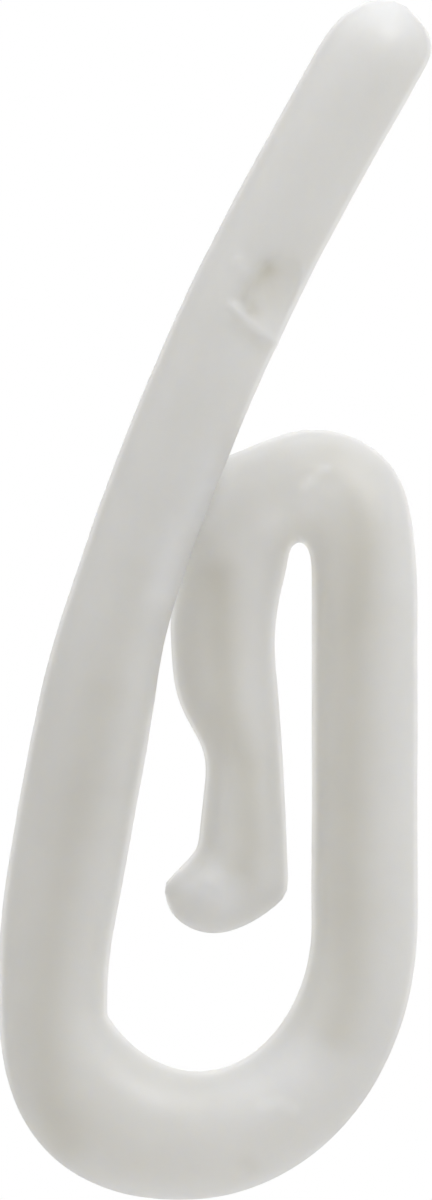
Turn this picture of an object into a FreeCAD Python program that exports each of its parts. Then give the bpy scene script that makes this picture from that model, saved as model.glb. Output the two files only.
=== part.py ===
import FreeCAD, Part
import math
import os

# Curtain hook moulded in one piece of nylon: a single strand of changing section. Sizes in mm.
# Frame: +Z up, +X from the prong's foot towards the shank, Y is depth with the front at -Y.
# Origin: the saddle, the top of the slot, where the glider's eye hangs.
# A station is one cross-section of the strand: its point on the outside of the hook, its point on
# the inside, its depth from front to back, and how far its middle lies behind the hook's plane.
# Widths are measured in the hook's plane, and leans are degrees from upright towards +X.

# Slot: a pointed round top, a flare below it on the tongue's side, and nearly closed at the heel
slot_half = 0.33
slot_top_height = 0.7
slot_flare = 0.32
slot_flare_power = 2.0
flare_z = -2.6
heel_lip = 0.02
heel_power = 1.6

# Shank, beside the slot
shank_width = 2.6
shank_depth = 2.5
shank_top_z = -2.0
shank_outer_x = slot_half + shank_width

# Crown: a round outline over the slot, with its top above the saddle. Each place on its right shoulder
# is an angle up from the shank and how far the outline lies within the round there.
crown_height = 2.81
crown_radius = 2.07
crown_places = ((26.0, 0.005), (46.0, 0.08), (68.0, 0.045), (90.0, 0.0))
crown_inset = 0.16
crown_inset_power = 2.4
crown_depth = 2.65
crown_middle = 0.36
crown_jog_end = 0.75
crown_x = shank_outer_x - crown_inset - crown_radius
crown_z = crown_height - crown_radius

# Brow and fall: from the crown's top nearly level, then straight down to the shoulder
brow_reach = 0.84
brow_drop = 0.02
fall_lean = 66.5
fall_length = 1.95
shoulder_drop = 1.595
shoulder_round = 0.45

# Pinch: the shoulder laps behind the prong, a clearance away, and comes out from behind it downwards
pinch_clearance = 0.03
pinch_opening = 0.5965
pinch_set = 1.6
pinch_high_z = 1.0
pinch_low_z = -1.6

# Tongue, neck and instep
tongue_width = 2.53
tongue_depth = 2.35
tongue_end_z = -3.7
neck_z = -5.5
neck_width = 1.89
neck_depth = 2.05
heel_z = -8.72
instep_rise = 1.32
instep_width = 2.14
toe_set = 0.2
tongue_inner_x = -slot_half - slot_flare
heel_x = -slot_half + heel_lip
instep_z = heel_z + instep_rise

# Toe: places on its upper side and on its sole, from the heel, and its depth there
toe_depth = 2.25
toe_upper = ((-2.19, 1.16), (-2.22, 1.08), (-2.25, 1.02), (-2.31, 0.92), (-2.44, 0.76), (-2.64, 0.55),
             (-2.85, 0.35), (-3.04, 0.12))
toe_sole = ((-0.01, 0.5), (0.0, -0.02), (-0.14, -0.26), (-0.87, -0.82), (-1.65, -1.1), (-2.3, -1.03),
            (-2.8, -0.69), (-3.06, -0.17))
toe_taper = (1.0, 1.0, 1.0, 1.0, 0.93, 0.78, 0.53, 0.16)

# Prong, from the foot up: ankle bend, straight calf, knee bend, long bend, straight tip
ankle_width = 2.67
ankle_radius = 15.2
calf_width = 2.86
calf_depth = 2.65
calf_lean = 10.4
calf_length = 4.95
calf_low_z = -8.0
calf_high_z = -5.0
knee_radius = 19.7
knee_lean = 17.8
prong_width = 2.52
prong_depth = 2.4
prong_low_z = -1.2
prong_radius = 57.4
prong_lean = 29.2
tip_length = 4.9
tip_outer_dome = 1.82
tip_inner_dome = 0.88
tip_end = 84.0

# How many stations each stretch of the prong has: more where it turns more
ankle_steps = 4
calf_steps = 3
knee_steps = 3
long_bend_steps = 7
tip_steps = 8

# Loop: outside, two quarter rounds that meet at the base; inside, a bowl that leaves the foot at a corner
loop_drop = 16.46
loop_left_reach = 4.69
loop_left_height = 5.02
loop_left_fullness = 2.45
loop_right_fullness = 1.99
bend_z = -9.6
base_width = 3.17
base_depth = 2.8
bowl_shift = 0.32
bowl_fullness = 1.97
bowl_corner = 38.0
foot_z = loop_left_height - loop_drop
bowl_height = bend_z + loop_drop - base_width

# Each half of a section leans in by the mould's draft, so the halves meet in a faint crest
draft_angle = 3.0

# Round the crown and the toe, stations are at most this many degrees of turn apart. Each quarter of
# the loop has a fixed number of them.
station_turn = 8.0
quarter_steps = 12

# Dishes in the front: the gate's scar on the prong's flank, and ejector pins' marks on crown and loop
scar_lean = 26.2
scar_turn = -36.0
scar_radius = 1.7
scar_depth = 0.34
mark_depth = 0.05
crown_mark_radius = 1.5
crown_mark_index = 7
crown_mark_turn = 6.0
crown_mark_tilt = 14.0
loop_mark_radius = 3.2
loop_mark_index = 4
loop_mark_turn = 20.0


def ease(fraction):
    """Smooth step from 0 to 1, held at its ends."""
    held = min(1.0, max(0.0, fraction))
    return (1 - math.cos(math.pi * held)) / 2


def blend(low, high, fraction):
    return low + (high - low) * ease(fraction)


def steps(start, end, count):
    """The ends and the even steps between them."""
    return [start + (end - start) * index / count for index in range(count + 1)]


def bend(start, lean_from, lean_to, radius, count):
    """Points with their leans along a bend that starts at a point, without that point."""
    points = []
    for lean in steps(lean_from, lean_to, count)[1:]:
        along_x = radius * (math.cos(math.radians(lean_from)) - math.cos(math.radians(lean)))
        along_z = radius * (math.sin(math.radians(lean)) - math.sin(math.radians(lean_from)))
        points.append((start[0] + along_x, start[1] + along_z, lean))
    return points


def straight(start, lean, length, count):
    points = []
    for run in steps(0.0, length, count)[1:]:
        turn = math.radians(lean)
        points.append((start[0] + run * math.sin(turn), start[1] + run * math.cos(turn), lean))
    return points


def leg_line(from_x):
    """The prong's centreline from the foot, at a place across, to the end of the knee."""
    ankle = bend((from_x, foot_z), 0.0, calf_lean, ankle_radius, ankle_steps)
    calf = straight(ankle[-1], calf_lean, calf_length, calf_steps)
    knee = bend(calf[-1], calf_lean, knee_lean, knee_radius, knee_steps)
    return ankle + calf + knee


def pinch_edge(from_x, z):
    """The shoulder's flank at a height, a clearance away from the round side of a prong from a foot."""
    knee_end = leg_line(from_x)[-1]
    turn = math.radians(knee_lean)
    centre_x = knee_end[0] + prong_radius * math.cos(turn)
    centre_z = knee_end[1] - prong_radius * math.sin(turn)
    prong_edge = centre_x - math.sqrt((prong_radius - prong_width / 2) ** 2 - (z - centre_z) ** 2)
    reach = (prong_width + tongue_width) / 2
    share = pinch_set / ((prong_depth + tongue_depth) / 2 + pinch_clearance)
    lap = reach - (reach + pinch_clearance) * math.sqrt(1 - share ** 2)
    opening = pinch_opening * ease((pinch_high_z - z) / (pinch_high_z - pinch_low_z))
    return prong_edge - lap + opening


# The foot stands where the prong clears the tongue at the pinch's low end
foot_x = tongue_inner_x - tongue_width - pinch_edge(0.0, pinch_low_z)
foot_inner_x = foot_x + ankle_width / 2
base_x = foot_x - ankle_width / 2 + loop_left_reach
bowl_x = base_x + bowl_shift


def long_bend(lean_to, count):
    return bend(leg_line(foot_x)[-1], knee_lean, lean_to, prong_radius, count)


def prong_width_at(z):
    if z > calf_low_z:
        return blend(calf_width, prong_width, (z - calf_high_z) / (prong_low_z - calf_high_z))
    return blend(ankle_width, calf_width, (z - foot_z) / (calf_low_z - foot_z))


def prong_depth_at(z):
    return blend(calf_depth, prong_depth, (z - calf_high_z) / (prong_low_z - calf_high_z))


def prong_set_at(z):
    """The prong passes in front of the hook's plane from the pinch up."""
    return blend(0.0, -pinch_set / 2, (z - foot_z) / (pinch_low_z - foot_z))


def prong_station(point):
    """A station square to the prong's line at a point with its lean."""
    turn = math.radians(point[2])
    z = point[1]
    side_x = math.cos(turn) * prong_width_at(z) / 2
    side_z = -math.sin(turn) * prong_width_at(z) / 2
    outer = (point[0] - side_x, z - side_z)
    inner = (point[0] + side_x, z + side_z)
    return (outer, inner, prong_depth_at(z), prong_set_at(z))


def tip_station(angle):
    """A station of the tip's dome, which is longer on the outer side: 0 at its root, 90 at its end."""
    start = long_bend(prong_lean, 1)[-1]
    turn = math.radians(prong_lean)
    half = prong_width / 2 * math.cos(math.radians(angle))
    short = 1 - math.sin(math.radians(angle))
    sides = []
    for side, dome in ((-half, tip_outer_dome), (half, tip_inner_dome)):
        run = tip_length - dome * short
        x = start[0] + run * math.sin(turn) + side * math.cos(turn)
        z = start[1] + run * math.cos(turn) - side * math.sin(turn)
        sides.append((x, z))
    return (sides[0], sides[1], prong_depth * math.cos(math.radians(angle)), -pinch_set / 2)


def quarter_round(centre_x, centre_z, reach, height, fullness, angle):
    """A point on a quarter round below its centre: 0 at its side, 90 at its lowest."""
    power = 2 / fullness
    cosine = max(0.0, math.cos(math.radians(angle)))
    sine = math.sin(math.radians(angle))
    return (centre_x + reach * cosine ** power, centre_z - height * sine ** power)


def level_stations(outside, inside, first_depth, last_depth):
    """Stations in the hook's plane through facing points, with the depth changing along them."""
    depths = [blend(first_depth, last_depth, share) for share in steps(0.0, 1.0, len(outside) - 1)]
    return [(outer, inner, depth, 0.0) for outer, inner, depth in zip(outside, inside, depths)]


def loop_left_stations(count):
    """From the foot to the base: inside, the foot's wall ends at the bowl's corner."""
    bowl_reach = (foot_inner_x - bowl_x) / math.cos(math.radians(bowl_corner)) ** (2 / bowl_fullness)
    left_round = (-loop_left_reach, loop_left_height, loop_left_fullness)
    outside = [quarter_round(base_x, foot_z, *left_round, angle) for angle in steps(0.0, 90.0, count)]
    inside = [(foot_inner_x, foot_z)]
    for angle in steps(bowl_corner, 90.0, count - 1):
        inside.append(quarter_round(bowl_x, bend_z, bowl_reach, bowl_height, bowl_fullness, angle))
    return level_stations(outside, inside, calf_depth, base_depth)


def loop_right_stations(count):
    """From the base up to the shank."""
    outer_round = (shank_outer_x - base_x, bend_z + loop_drop, loop_right_fullness)
    bowl_round = (slot_half - bowl_x, bowl_height, bowl_fullness)
    outside = [quarter_round(base_x, bend_z, *outer_round, angle) for angle in steps(90.0, 0.0, count)]
    inside = [quarter_round(bowl_x, bend_z, *bowl_round, angle) for angle in steps(90.0, 0.0, count)]
    return level_stations(outside, inside, base_depth, shank_depth)


def slot_top(angle):
    """A point on the slot's top: 0 on the shank's side, 90 at the saddle, 180 on the tongue's side."""
    turn = math.radians(angle)
    return (slot_half * math.cos(turn), slot_top_height * (math.sin(turn) - 1))


def tongue_inner(z):
    """The slot's wall on the tongue's side: it flares out below the top, then closes to the heel."""
    if z > flare_z:
        share = (z - flare_z) / (-slot_top_height - flare_z)
        return (tongue_inner_x + slot_flare * share ** slot_flare_power, z)
    share = max(0.0, (z - heel_z) / (flare_z - heel_z))
    return (heel_x + (tongue_inner_x - heel_x) * share ** heel_power, z)


def shank_edge(z):
    """The shank's outer edge, which leans in towards the crown."""
    share = (z - shank_top_z) / (crown_z - shank_top_z)
    return (shank_outer_x - crown_inset * share ** crown_inset_power, z)


def crown_arc(angle, radius):
    turn = math.radians(angle)
    return (crown_x + radius * math.cos(turn), crown_z + radius * math.sin(turn))


def pinch_flank(z):
    return (pinch_edge(foot_x, z), z)


def fall_point(share):
    """A point on the fall: 0 at the shoulder, 1 at its upper end."""
    start = pinch_flank(crown_height - shoulder_drop)
    run = shoulder_round + fall_length * share
    turn = math.radians(fall_lean)
    return (start[0] + run * math.sin(turn), start[1] + shoulder_round + run * math.cos(turn))


def crown_outline():
    """Points on the outside from the shank over the crown and down the shoulder's flank."""
    shank = [shank_edge(z) for z in steps(shank_top_z, crown_z, 3)]
    top = [crown_arc(angle, crown_radius - within) for angle, within in crown_places]
    brow = [(crown_x - brow_reach, crown_height - brow_drop)]
    fall = [fall_point(share) for share in (1.0, 0.5, 0.0)]
    flank = [pinch_flank(z) for z in steps(pinch_high_z, pinch_low_z, 3)]
    return shank + top + brow + fall + flank


def slot_outline():
    """Points on the inside that face those of the crown's outline, round the top of the slot."""
    shank = [(slot_half, z) for z in steps(shank_top_z, -slot_top_height, 2)]
    tongue = [tongue_inner(z) for z in steps(-slot_top_height, pinch_low_z, 2)[1:]]
    top_steps = len(crown_outline()) - len(shank) - len(tongue)
    top = [slot_top(angle) for angle in steps(0.0, 180.0, top_steps)[1:]]
    return shank + top + tongue


def crown_stations():
    """The crown is deepest at its middle, and moves back behind the hook's plane up to the shoulder."""
    outline = list(zip(crown_outline(), slot_outline()))
    stations = []
    for index, (outer, inner) in enumerate(outline):
        share = index / (len(outline) - 1)
        rise = blend(shank_depth, crown_depth, share / crown_middle)
        past = (share - crown_middle) / crown_middle
        depth = rise + blend(0.0, tongue_depth - crown_depth, past)
        stations.append((outer, inner, depth, blend(0.0, pinch_set / 2, share / crown_jog_end)))
    return stations


def tongue_stations():
    """From below the pinch down to the instep, back towards the hook's plane."""
    stations = []
    for z in [flare_z] + steps(tongue_end_z, neck_z, 3) + steps(neck_z, instep_z, 2)[1:]:
        if z > neck_z:
            share = (z - tongue_end_z) / (neck_z - tongue_end_z)
            width = blend(tongue_width, neck_width, share)
            depth = blend(tongue_depth, neck_depth, share)
        else:
            share = (z - neck_z) / (instep_z - neck_z)
            width = blend(neck_width, instep_width, share)
            depth = blend(neck_depth, toe_depth, share)
        inner = tongue_inner(z)
        set_back = blend(pinch_set / 2, toe_set, (z - pinch_low_z) / (instep_z - pinch_low_z))
        stations.append(((inner[0] - width, z), inner, depth, set_back))
    return stations


def toe_stations():
    """The toe turns about its instep towards the prong; the sole is the side away from it."""
    stations = []
    for upper, sole, taper in zip(toe_upper, toe_sole, toe_taper):
        outer = (heel_x + upper[0], heel_z + upper[1])
        inner = (heel_x + sole[0], heel_z + sole[1])
        stations.append((outer, inner, toe_depth * taper, toe_set))
    return stations


def half_edge(station, from_outer):
    """One half of a section, an arc of an ellipse: over the front from the outside, or over the back."""
    outer, inner, depth, set_back = station
    draft = math.radians(draft_angle)
    side = 1 if from_outer else -1
    across = (FreeCAD.Vector(outer[0], 0, outer[1]) - FreeCAD.Vector(inner[0], 0, inner[1])) / 2
    across = across * side / math.cos(draft)
    forward = FreeCAD.Vector(0, -side * depth / 2, 0) / (1 - math.sin(draft))
    middle = FreeCAD.Vector((outer[0] + inner[0]) / 2, set_back, (outer[1] + inner[1]) / 2)
    middle = middle - forward * math.sin(draft)
    curve = Part.ArcOfCircle(Part.Circle(), draft, math.pi - draft).toBSpline()
    for index, pole in enumerate(curve.getPoles()):
        curve.setPole(index + 1, middle + across * pole.x + forward * pole.y)
    return curve.toShape()


def section(station):
    return Part.Wire([half_edge(station, True), half_edge(station, False)])


def curve_through(points, marks):
    curve = Part.BSplineCurve()
    curve.interpolate(Points=[FreeCAD.Vector(point) for point in points], Parameters=marks)
    return curve


def smooth(stations):
    """The stations with more between them, on smooth curves through their outer and inner points."""
    marks = [0.0]
    for before, after in zip(stations, stations[1:]):
        step = math.dist(before[0], after[0]) + math.dist(before[1], after[1])
        marks.append(marks[-1] + step)
    outside = curve_through([(outer[0], depth, outer[1]) for outer, inner, depth, back in stations], marks)
    inside = curve_through([(inner[0], back, inner[1]) for outer, inner, depth, back in stations], marks)
    finer = []
    for start, end in zip(marks, marks[1:]):
        turns = [curve.tangent(start)[0].getAngle(curve.tangent(end)[0]) for curve in (outside, inside)]
        count = max(1, math.ceil(math.degrees(max(turns)) / station_turn))
        for mark in steps(start, end, count)[:-1]:
            out = outside.value(mark)
            into = inside.value(mark)
            finer.append(((out.x, out.z), (into.x, into.z), out.y, into.y))
    return finer + [stations[-1]]


def strand():
    """The whole strand, lofted from one station to the next, with stations close together on bends."""
    tip = [tip_station(angle) for angle in steps(tip_end, 0.0, tip_steps)]
    prong_line = leg_line(foot_x) + long_bend(prong_lean, long_bend_steps)
    prong = [prong_station(point) for point in reversed(prong_line)]
    loop = loop_left_stations(quarter_steps)[:-1] + loop_right_stations(quarter_steps)
    head = smooth(crown_stations() + tongue_stations() + toe_stations())
    sections = [section(station) for station in tip + prong + loop + head]
    return Part.makeLoft(sections, True, True)


def dish(station, turn, tilt, radius, depth):
    """A ball that leaves a dish in the strand's front, at a turn from straight ahead to the outside.
    The tilt is how far the front there leans along the strand."""
    outer, inner, strand_depth, set_back = station
    half = (FreeCAD.Vector(outer[0], 0, outer[1]) - FreeCAD.Vector(inner[0], 0, inner[1])) / 2
    middle = FreeCAD.Vector((outer[0] + inner[0]) / 2, set_back, (outer[1] + inner[1]) / 2)
    aside = math.sin(math.radians(turn))
    ahead = math.cos(math.radians(turn))
    touch = half * aside - FreeCAD.Vector(0, strand_depth / 2 * ahead, 0)
    outwards = half * (strand_depth / 2 * aside / half.Length) - FreeCAD.Vector(0, half.Length * ahead, 0)
    along = FreeCAD.Vector(-half.z, 0, half.x).normalize()
    outwards = outwards.normalize() + along * math.tan(math.radians(tilt))
    return Part.makeSphere(radius, middle + touch + outwards.normalize() * (radius - depth))


def hook():
    scar_station = prong_station(long_bend(scar_lean, 1)[-1])
    crown_station = crown_stations()[crown_mark_index]
    loop_station = loop_right_stations(quarter_steps)[loop_mark_index]
    scar = dish(scar_station, scar_turn, 0.0, scar_radius, scar_depth)
    crown_mark = dish(crown_station, crown_mark_turn, crown_mark_tilt, crown_mark_radius, mark_depth)
    loop_mark = dish(loop_station, loop_mark_turn, 0.0, loop_mark_radius, mark_depth)
    return strand().cut(scar).cut(crown_mark).cut(loop_mark)


os.makedirs("parts", exist_ok=True)
shape = hook()
shape.exportStep("parts/hook.step")
print("hook", shape.isValid(), len(shape.Solids), round(shape.Volume, 2), shape.BoundBox)
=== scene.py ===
import math
import bmesh
import bpy
import numpy
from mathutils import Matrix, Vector, noise
from mathutils.bvhtree import BVHTree


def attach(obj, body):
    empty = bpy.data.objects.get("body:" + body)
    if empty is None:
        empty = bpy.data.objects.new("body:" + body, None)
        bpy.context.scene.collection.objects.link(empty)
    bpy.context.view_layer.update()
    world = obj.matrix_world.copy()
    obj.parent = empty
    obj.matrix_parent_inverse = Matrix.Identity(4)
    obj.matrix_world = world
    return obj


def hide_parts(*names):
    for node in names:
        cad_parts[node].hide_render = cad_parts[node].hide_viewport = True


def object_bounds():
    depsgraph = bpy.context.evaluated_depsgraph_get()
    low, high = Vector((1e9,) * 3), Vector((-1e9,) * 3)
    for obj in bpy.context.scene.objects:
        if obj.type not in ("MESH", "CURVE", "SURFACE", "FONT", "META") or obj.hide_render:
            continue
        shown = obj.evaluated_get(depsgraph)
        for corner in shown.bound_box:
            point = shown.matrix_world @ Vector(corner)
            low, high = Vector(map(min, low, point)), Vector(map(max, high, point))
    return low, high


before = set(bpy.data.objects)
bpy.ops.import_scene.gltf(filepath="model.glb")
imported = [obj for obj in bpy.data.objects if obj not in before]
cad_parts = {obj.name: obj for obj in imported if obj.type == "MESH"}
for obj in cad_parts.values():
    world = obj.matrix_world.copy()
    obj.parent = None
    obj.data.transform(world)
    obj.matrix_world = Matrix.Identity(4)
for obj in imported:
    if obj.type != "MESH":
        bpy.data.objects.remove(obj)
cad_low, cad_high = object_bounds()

# The hook as it hangs, seen from the front. Lengths here are in mm and become metres in the scene.
MM = 0.001

# The photograph's frame: its middle in the hook's plane, and its height there
view_x = -2.0875
view_z = -1.475
view_height = 30.0
lens = 250.0
sensor = 36.0
clip_near = 10.0
clip_far = 10000.0

# The strand's middle line from the prong's tip round the loop to the toe's end. It turns in a
# round over the slot and in another over the instep, so that the rings there fan out and don't
# cross.
guide = (
    (2.53, -0.8, 13.37), (1.87, -0.8, 12.19), (0.14, -0.8, 9.09), (-1.37, -0.8, 6.20),
    (-2.71, -0.8, 3.23), (-3.89, -0.8, 0.18), (-4.65, -0.79, -2.17), (-5.03, -0.70, -3.83),
    (-5.62, -0.33, -7.07), (-6.03, -0.08, -9.38), (-6.17, 0.0, -11.00), (-6.15, 0.0, -12.10),
    (-5.86, 0.0, -13.08), (-5.30, 0.0, -13.90), (-4.50, 0.0, -14.50), (-3.60, 0.0, -14.82),
    (-2.65, 0.0, -14.88), (-1.60, 0.0, -14.62), (-0.58, 0.0, -14.05), (0.33, 0.0, -13.20),
    (1.03, 0.0, -12.10), (1.46, 0.0, -10.85), (1.62, 0.0, -9.60), (1.63, 0.0, -5.8),
    (1.63, 0.0, -2.8), (1.63, 0.0, -2.0), (1.63, 0.02, -1.25), (1.63, 0.08, -0.5),
    (1.416, 0.2, 0.3), (0.83, 0.4, 0.886), (0.03, 0.6, 1.1), (-0.77, 0.76, 0.886),
    (-1.356, 0.8, 0.3), (-1.57, 0.8, -0.5), (-1.70, 0.8, -1.3), (-1.86, 0.79, -2.1),
    (-1.90, 0.72, -3.0), (-1.82, 0.60, -3.9), (-1.64, 0.49, -4.55), (-1.46, 0.39, -5.2),
    (-1.40, 0.29, -5.9), (-1.40, 0.22, -6.75), (-1.43, 0.2, -7.5), (-1.607, 0.2, -8.16),
    (-2.09, 0.2, -8.643), (-2.72, 0.2, -8.81), (-3.38, 0.2, -8.75),
)
guide_spans = 20
way_reach = 0.25

# Rings of points round the strand: their step along it, a finer step past the gate scar, and at
# both ends rings that close in on the tip
ring_points = 120
ring_step = 0.12
scar_run = (6.4, 9.6)
scar_ring_step = 0.05
end_length = 1.1
end_rings = 16
end_angle = 79.0

# Evening out: how often, and the places across and up where the form stays crisp, with their reach
even_rounds = 10
even_least = 0.12
crisp_slope = 1.5
crisp_places = (
    (-0.31, -8.75, 0.7), (-1.9, 1.9, 0.7), (-4.83, -11.8, 0.7), (-0.65, 6.1, 1.5),
    (0.44, 1.54, 0.9), (-0.56, -14.7, 0.9),
)

# Small forms of the moulding: the parting line's crest, its width in degrees, and the skin's waves
crest_height = 0.03
crest_width = 4.0
wave_height = 0.02
wave_length = 2.5

# Small marks on the front: lines of places across and up, each with its height, its half width and
# how much painted shade darkens it (or painted light lightens it). The torn gate's edge and hollow
# are sunk and darkened with painted shade, a raised spot beside it has a painted highlight, and
# below it the lip stands proud, with a painted highlight on it and painted shade under it. The
# ejector pins left the rims of their marks on the crown and the loop, with painted highlights on
# the crown's rims and the loop rim's upper side and painted shade on its lower side. The neck is
# slightly hollow, and the toe swells, with a painted highlight on it.
mark_forms = (
    (((-0.82, 6.74), (-1.02, 6.50), (-1.26, 6.24), (-1.36, 6.02), (-1.18, 5.72)),
     -0.07, 0.22, 0.65),
    (((-0.80, 6.50), (-0.90, 6.00)), -0.02, 0.45, 0.3),
    (((-1.74, 5.82), (-1.31, 5.45), (-0.89, 5.13), (-0.66, 4.95)), 0.05, 0.13, -0.25),
    (((-1.62, 5.36), (-1.44, 5.16), (-1.0, 4.80)), -0.03, 0.22, 0.35),
    (((-1.52, 6.92), (-1.40, 6.78)), 0.04, 0.16, -0.4),
    (((0.12, 1.36), (0.26, 1.52)), 0.02, 0.14, -0.5),
    (((0.44, 1.74), (0.66, 1.80)), 0.02, 0.12, -0.5),
    (((-0.95, -14.05), (-0.55, -13.95), (-0.15, -14.10)), 0.02, 0.16, -0.35),
    (((-1.35, -15.45), (-1.20, -15.60)), -0.02, 0.20, 0.3),
    (((-1.45, -5.7), (-1.40, -7.9)), -0.03, 0.40, 0.0),
    (((-2.55, -8.60), (-1.75, -8.65)), 0.05, 0.40, -0.35),
)
ragged_length = 0.5
ragged_tone = 0.3
least_tone = 0.01

# Painted shade along the front of the strands' middles (the shank, the tongue, the prong and the
# loop's left side), and painted light along the pinch beside the prong, under the crown, on the toe
# and on the loop's inner base: lines of places across and up, each with its half width and how much
# its painted shade darkens (or painted light lightens)
painted_shade_and_light = (
    (((0.9, 2.2), (1.55, 1.6), (1.6, 0.2), (1.35, -2.5), (1.28, -7.0), (1.25, -11.2),
      (0.9, -12.2)), 0.6, 0.75),
    (((-2.0, -0.9), (-1.95, -2.4), (-1.8, -4.2), (-1.35, -5.6), (-1.2, -7.6), (-1.4, -8.2)),
     0.5, 0.95),
    (((-4.0, -0.9), (-4.6, -2.8)), 0.6, 0.4),
    (((-4.85, -3.8), (-5.1, -5.2), (-5.75, -7.8), (-6.2, -10.2), (-6.35, -11.8),
      (-6.2, -13.8), (-5.9, -15.0)), 0.6, 0.55),
    (((1.5, 0.2), (1.4, -1.8)), 0.7, 0.2),
    (((-0.5, 0.5), (0.1, 0.75)), 0.55, -1.0),
    (((-1.9, 1.6), (-2.3, 0.9), (-2.8, 0.2), (-3.1, -0.6), (-3.4, -1.3)), 0.45, -0.8),
    (((-2.2, 1.1), (-2.3, 0.7)), 0.45, -0.5),
    (((-2.85, -8.35), (-2.3, -8.6), (-1.9, -8.95)), 0.45, -0.8),
    (((-1.0, -13.6), (-0.3, -13.2)), 0.85, -0.9),
)
front_blend = 0.3
plain_tone = 0.5

# The milky nylon: how far light spreads in it, its cloudy tint, how its painted shade and painted
# light change the tint, its gloss and the fine grain of its skin. Noise scales count features to
# the metre.
nylon_ior = 1.53
spread_weight = 0.9
spread_colours = (1.0, 0.9, 0.7)
spread_reach = 7.0
cloud_noise = {"Scale": 420.0, "Detail": 3.0, "Roughness": 0.5}
cloud_range = (0.35, 0.65)
cloud_tints = ((0.733, 0.729, 0.714, 1.0), (0.763, 0.759, 0.746, 1.0))
# Shares of the tint where light is painted, where it stays plain, and where shade is painted
painted_light_share = (1.18, 1.18, 1.18, 1.0)
plain_share = (1.0, 1.0, 1.0, 1.0)
painted_shade_share = (0.80, 0.795, 0.775, 1.0)
gloss_range = (0.38, 0.52)
grain_noise = {"Scale": 16000.0, "Detail": 2.0, "Roughness": 0.6}
grain_strength = 0.15
grain_depth = 0.01

# The round floor below the hook
floor_corners = 96
floor_radius = 60.0
floor_drop = 6.0
floor_colour = (0.9, 0.9, 0.9, 1.0)
floor_roughness = 0.9

# Lamps, each with its place from the frame's middle, its size and its watts, and the room's light
lamps = (
    ("overhead", (0.0, 0.0, 150.0), 200.0, 0.106),
    ("upper_left", (-100.0, -40.0, 100.0), 200.0, 0.072),
    ("beside", (150.0, 0.0, 0.0), 200.0, 0.060),
    ("front_right", (30.0, -50.0, 60.0), 50.0, 0.032),
    ("behind", (0.0, 150.0, 0.0), 200.0, 0.17),
)
room_strength = 0.02
seen_strength = 1.0
white = (1.0, 1.0, 1.0, 1.0)


def smooth_line(points, spans):
    """Catmull-Rom points along the guide."""
    padded = [2 * points[0] - points[1]] + points + [2 * points[-1] - points[-2]]
    line = []
    for before, start, end, after in zip(padded, padded[1:], padded[2:], padded[3:]):
        for index in range(spans):
            t = index / spans
            line.append(0.5 * (2 * start + (end - before) * t
                               + (2 * before - 5 * start + 4 * end - after) * t ** 2
                               + (3 * start - before - 3 * end + after) * t ** 3))
    line.append(points[-1])
    return line


def ring_places(length):
    """Distances along the guide of the rings: finer past the scar and closer towards both ends."""
    angles = numpy.linspace(end_angle, 0.0, end_rings)
    closing = [end_length * (1 - math.sin(math.radians(angle))) for angle in angles]
    middle = [end_length]
    while middle[-1] < length - end_length - ring_step:
        fine = scar_run[0] < middle[-1] < scar_run[1]
        middle.append(middle[-1] + (scar_ring_step if fine else ring_step))
    return closing[:-1] + middle + [length - run for run in reversed(closing)]


def line_frames():
    """Each ring's place, its way along the strand, and its ways across in and out of the plane."""
    line = smooth_line([Vector(point) for point in guide], guide_spans)
    runs = [0.0]
    for before, after in zip(line, line[1:]):
        runs.append(runs[-1] + (after - before).length)
    parts = list(zip(*line))
    frames = []
    for place in ring_places(runs[-1]):
        near = [min(max(place + offset, 0.0), runs[-1]) for offset in (-way_reach, 0.0, way_reach)]
        back, here, ahead = [Vector([numpy.interp(run, runs, part) for part in parts])
                             for run in near]
        along = (ahead - back).normalized()
        across = Vector((along.z, 0.0, -along.x)).normalized()
        frames.append((here, along, across, across.cross(along)))
    return frames


def hit(tree, start, way):
    """The first place on the solid from a start, along a way."""
    return tree.ray_cast(start, way)[0]


def ring_from(tree, here, across, out):
    """The solid's outline square to the strand, as seen from the middle of its section."""
    centre = here * MM
    for way in (out, across):
        centre = (hit(tree, centre, way) + hit(tree, centre, -way)) / 2
    ring = []
    for index in range(ring_points):
        turn = 2 * math.pi * index / ring_points
        ring.append(hit(tree, centre, across * math.cos(turn) + out * math.sin(turn)))
    return centre, ring


def even_out(rings):
    """Takes the solid's facets out along the strand and around it, less so at its crisp places."""
    hold = numpy.zeros(rings.shape[:2])
    for x, z, reach in crisp_places:
        gap = numpy.hypot(rings[:, :, 0] / MM - x, rings[:, :, 2] / MM - z)
        near = numpy.clip(crisp_slope - crisp_slope * gap / reach, 0.0, 1.0)
        hold = numpy.maximum(hold, near)
    share = (1.0 - (1.0 - even_least) * hold)[:, :, None]
    for _ in range(even_rounds):
        along = (rings[:-2] + 2 * rings[1:-1] + rings[2:]) / 4
        rings[1:-1] += share[1:-1] * (along - rings[1:-1])
    around = (numpy.roll(rings, 1, axis=1) + 2 * rings + numpy.roll(rings, -1, axis=1)) / 4
    return rings + share * (around - rings)


def line_gap(line, x, z):
    """How far places lie from a line of points."""
    gaps = []
    for start, end in zip(line, line[1:]):
        run_x, run_z = end[0] - start[0], end[1] - start[1]
        reach = ((x - start[0]) * run_x + (z - start[1]) * run_z) / (run_x ** 2 + run_z ** 2)
        share = numpy.clip(reach, 0.0, 1.0)
        gaps.append(numpy.hypot(x - start[0] - share * run_x, z - start[1] - share * run_z))
    return numpy.minimum.reduce(gaps)


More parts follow.
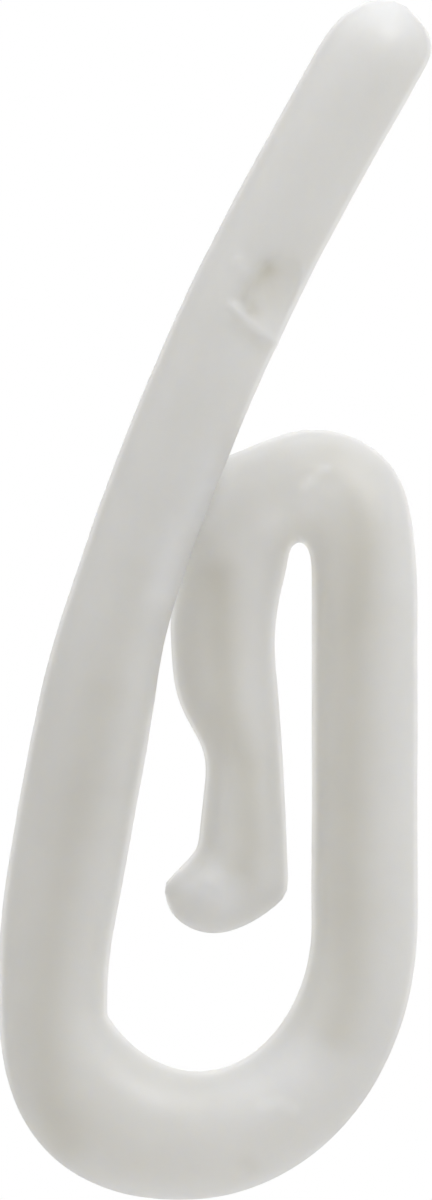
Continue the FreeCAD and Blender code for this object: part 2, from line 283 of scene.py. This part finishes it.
def small_marks(rings, centres):
    """How far the marks raise each point, in mm, and how much painted light (towards 0) or painted
    shade (towards 1) it takes.
    """
    rise = numpy.zeros(rings.shape[:2])
    painted_tone = numpy.zeros(rings.shape[:2])
    ahead = (numpy.array(centres)[:, None, 1] - rings[:, :, 1]) / MM
    front = numpy.clip(0.5 + ahead / front_blend, 0.0, 1.0)
    x, z = rings[:, :, 0] / MM, rings[:, :, 2] / MM
    # The marks' darkening is painted shade and their lightening is painted highlights
    for line, height, width, painted_shading in mark_forms:
        near = numpy.exp(-(line_gap(line, x, z) / width) ** 2) * front
        rise += height * near
        painted_tone += painted_shading * near
    for ring, index in zip(*numpy.nonzero(numpy.abs(painted_tone) > least_tone)):
        ragged = noise.noise(Vector(rings[ring, index]) / (ragged_length * MM))
        rise[ring, index] *= 1.0 + ragged
        painted_tone[ring, index] *= 1.0 + ragged_tone * ragged
    # Painted shade along the strands' middles, painted light along the pinch, crown, toe and loop
    # base
    for line, width, painted_shading in painted_shade_and_light:
        painted_tone += painted_shading * numpy.exp(-(line_gap(line, x, z) / width) ** 2) * front
    return rise, numpy.clip((1.0 + painted_tone) * plain_tone, 0.0, 1.0)


def small_forms(rings, centres, rise):
    """The parting line's crest on both sides of the strand, the skin's waves, and the marks."""
    turns = numpy.arange(ring_points) * 360.0 / ring_points
    off_line = numpy.minimum(turns % 180.0, 180.0 - turns % 180.0)
    crest = crest_height * numpy.exp(-(off_line / crest_width) ** 2)
    for ring, centre, lift in zip(rings, centres, rise):
        for index in range(ring_points):
            point = Vector(ring[index])
            out = (point - centre).normalized()
            wave = wave_height * noise.noise(point / (wave_length * MM))
            ring[index] = point + out * (crest[index] + wave + lift[index]) * MM
    return rings


def hook_mesh(cad):
    """The strand's skin: rings cast onto the solid, evened out, given their small forms, joined."""
    tree = BVHTree.FromObject(cad, bpy.context.evaluated_depsgraph_get())
    frames = line_frames()
    centres = []
    rings = []
    for here, along, across, out in frames:
        centre, ring = ring_from(tree, here, across, out)
        centres.append(centre)
        rings.append(ring)
    rings = even_out(numpy.array(rings))
    rise, painted_tone = small_marks(rings, centres)
    rings = small_forms(rings, centres, rise)
    poles = [hit(tree, centres[0], -frames[0][1]), hit(tree, centres[-1], frames[-1][1])]
    work = bmesh.new()
    verts = [[work.verts.new(point) for point in ring] for ring in rings]
    for near, far in zip(verts, verts[1:]):
        for index in range(ring_points):
            after = (index + 1) % ring_points
            work.faces.new((near[index], near[after], far[after], far[index]))
    for pole, ring in zip(poles, (verts[0], verts[-1])):
        tip = work.verts.new(pole)
        for index in range(ring_points):
            work.faces.new((tip, ring[index], ring[(index + 1) % ring_points]))
    bmesh.ops.recalc_face_normals(work, faces=work.faces)
    for face in work.faces:
        face.smooth = True
    mesh = bpy.data.meshes.new("hook_moulding")
    work.to_mesh(mesh)
    work.free()
    # The painted shade and painted light, kept on the points for the material
    shade = mesh.attributes.new("painted_tone", "FLOAT", "POINT")
    painted_tones = numpy.append(painted_tone.ravel(), [plain_tone, plain_tone])
    shade.data.foreach_set("value", painted_tones.astype(numpy.float32))
    return mesh


def node(tree, kind, **inputs):
    """A new node with its inputs' values. An underscore in an input's name stands for a space."""
    made = tree.nodes.new(kind)
    for name, value in inputs.items():
        made.inputs[name.replace("_", " ")].default_value = value
    return made


def nylon():
    """Natural nylon: milky, faintly cloudy, with painted shade and painted light from the point
    attribute, and a satin skin of fine spark texture.
    """
    material = bpy.data.materials.new("natural_nylon")
    material.use_nodes = True
    tree = material.node_tree
    surface = tree.nodes["Principled BSDF"]
    surface.inputs["IOR"].default_value = nylon_ior
    surface.inputs["Subsurface Weight"].default_value = spread_weight
    surface.inputs["Subsurface Radius"].default_value = spread_colours
    surface.inputs["Subsurface Scale"].default_value = spread_reach * MM
    place = tree.nodes.new("ShaderNodeTexCoord")
    cloud = node(tree, "ShaderNodeTexNoise", **cloud_noise)
    tree.links.new(place.outputs["Object"], cloud.inputs["Vector"])
    tint = tree.nodes.new("ShaderNodeValToRGB")
    for stop, position, colour in zip(tint.color_ramp.elements, cloud_range, cloud_tints):
        stop.position = position
        stop.color = colour
    tree.links.new(cloud.outputs["Fac"], tint.inputs["Fac"])
    # The painted shade and painted light scale the cloudy tint
    painted_tone = tree.nodes.new("ShaderNodeAttribute")
    painted_tone.attribute_name = "painted_tone"
    share = tree.nodes.new("ShaderNodeValToRGB")
    share.color_ramp.elements[0].color = painted_light_share
    share.color_ramp.elements[1].color = painted_shade_share
    plain = share.color_ramp.elements.new(plain_tone)
    plain.color = plain_share
    tree.links.new(painted_tone.outputs["Fac"], share.inputs["Fac"])
    marked = tree.nodes.new("ShaderNodeMix")
    marked.data_type = "RGBA"
    marked.blend_type = "MULTIPLY"
    marked.inputs["Factor"].default_value = 1.0
    tree.links.new(tint.outputs["Color"], marked.inputs["A"])
    tree.links.new(share.outputs["Color"], marked.inputs["B"])
    tree.links.new(marked.outputs["Result"], surface.inputs["Base Color"])
    grain = node(tree, "ShaderNodeTexNoise", **grain_noise)
    tree.links.new(place.outputs["Object"], grain.inputs["Vector"])
    bump = node(tree, "ShaderNodeBump", Strength=grain_strength, Distance=grain_depth * MM)
    tree.links.new(grain.outputs["Fac"], bump.inputs["Height"])
    tree.links.new(bump.outputs["Normal"], surface.inputs["Normal"])
    gloss = tree.nodes.new("ShaderNodeMapRange")
    gloss.inputs["To Min"].default_value = gloss_range[0]
    gloss.inputs["To Max"].default_value = gloss_range[1]
    tree.links.new(cloud.outputs["Fac"], gloss.inputs["Value"])
    tree.links.new(gloss.outputs["Result"], surface.inputs["Roughness"])
    return material


def add_hook():
    """The moulding, in place of the solid."""
    piece = bpy.data.objects.new("hook_moulding", hook_mesh(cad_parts["hook"]))
    bpy.context.scene.collection.objects.link(piece)
    piece.data.materials.append(nylon())
    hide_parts("hook")
    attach(piece, "root")


def add_floor():
    """A pale round floor below the hanging hook."""
    middle = (view_x * MM, 0.0, cad_low.z - floor_drop * MM)
    bpy.ops.mesh.primitive_circle_add(vertices=floor_corners, radius=floor_radius * MM,
                                      fill_type="NGON", location=middle)
    floor = bpy.context.object
    floor.name = "floor"
    material = bpy.data.materials.new("floor")
    material.use_nodes = True
    surface = material.node_tree.nodes["Principled BSDF"]
    surface.inputs["Base Color"].default_value = floor_colour
    surface.inputs["Roughness"].default_value = floor_roughness
    floor.data.materials.append(material)


def add_lamps():
    """Soft lamps over, beside, behind and in front of the hook, which the camera doesn't see."""
    middle = Vector((view_x, 0.0, view_z)) * MM
    for name, place, size, watts in lamps:
        lamp = bpy.data.lights.new(name, "AREA")
        lamp.shape = "DISK"
        lamp.size = size * MM
        lamp.energy = watts
        softbox = bpy.data.objects.new(name, lamp)
        softbox.location = middle + Vector(place) * MM
        softbox.rotation_euler = (softbox.location - middle).to_track_quat("Z", "Y").to_euler()
        softbox.visible_camera = False
        bpy.context.scene.collection.objects.link(softbox)


def add_room():
    """A room that lights the hook faintly, and shows white directly, in gloss and through it."""
    world = bpy.data.worlds.new("room")
    bpy.context.scene.world = world
    world.use_nodes = True
    tree = world.node_tree
    tree.nodes.clear()
    rays = tree.nodes.new("ShaderNodeLightPath")
    seen = tree.nodes.new("ShaderNodeMath")
    seen.operation = "MAXIMUM"
    tree.links.new(rays.outputs["Is Camera Ray"], seen.inputs[0])
    tree.links.new(rays.outputs["Is Glossy Ray"], seen.inputs[1])
    shown = tree.nodes.new("ShaderNodeMath")
    shown.operation = "MAXIMUM"
    tree.links.new(seen.outputs[0], shown.inputs[0])
    tree.links.new(rays.outputs["Is Transmission Ray"], shown.inputs[1])
    faint = node(tree, "ShaderNodeBackground", Color=white, Strength=room_strength)
    bright = node(tree, "ShaderNodeBackground", Color=white, Strength=seen_strength)
    mix = tree.nodes.new("ShaderNodeMixShader")
    out = tree.nodes.new("ShaderNodeOutputWorld")
    tree.links.new(shown.outputs[0], mix.inputs[0])
    tree.links.new(faint.outputs[0], mix.inputs[1])
    tree.links.new(bright.outputs[0], mix.inputs[2])
    tree.links.new(mix.outputs[0], out.inputs["Surface"])


def add_camera():
    """The camera straight in front, as far off as the frame's height needs."""
    camera = bpy.data.cameras.new("camera")
    camera.lens = lens
    camera.sensor_width = sensor
    camera.clip_start = clip_near * MM
    camera.clip_end = clip_far * MM
    holder = bpy.data.objects.new("camera", camera)
    holder.location = (view_x * MM, -view_height * MM * lens / sensor, view_z * MM)
    holder.rotation_euler = (math.radians(90.0), 0.0, 0.0)
    bpy.context.scene.collection.objects.link(holder)
    bpy.context.scene.camera = holder


add_camera()
add_lamps()
add_room()
add_floor()
add_hook()
bpy.context.scene.view_settings.view_transform = "Standard"
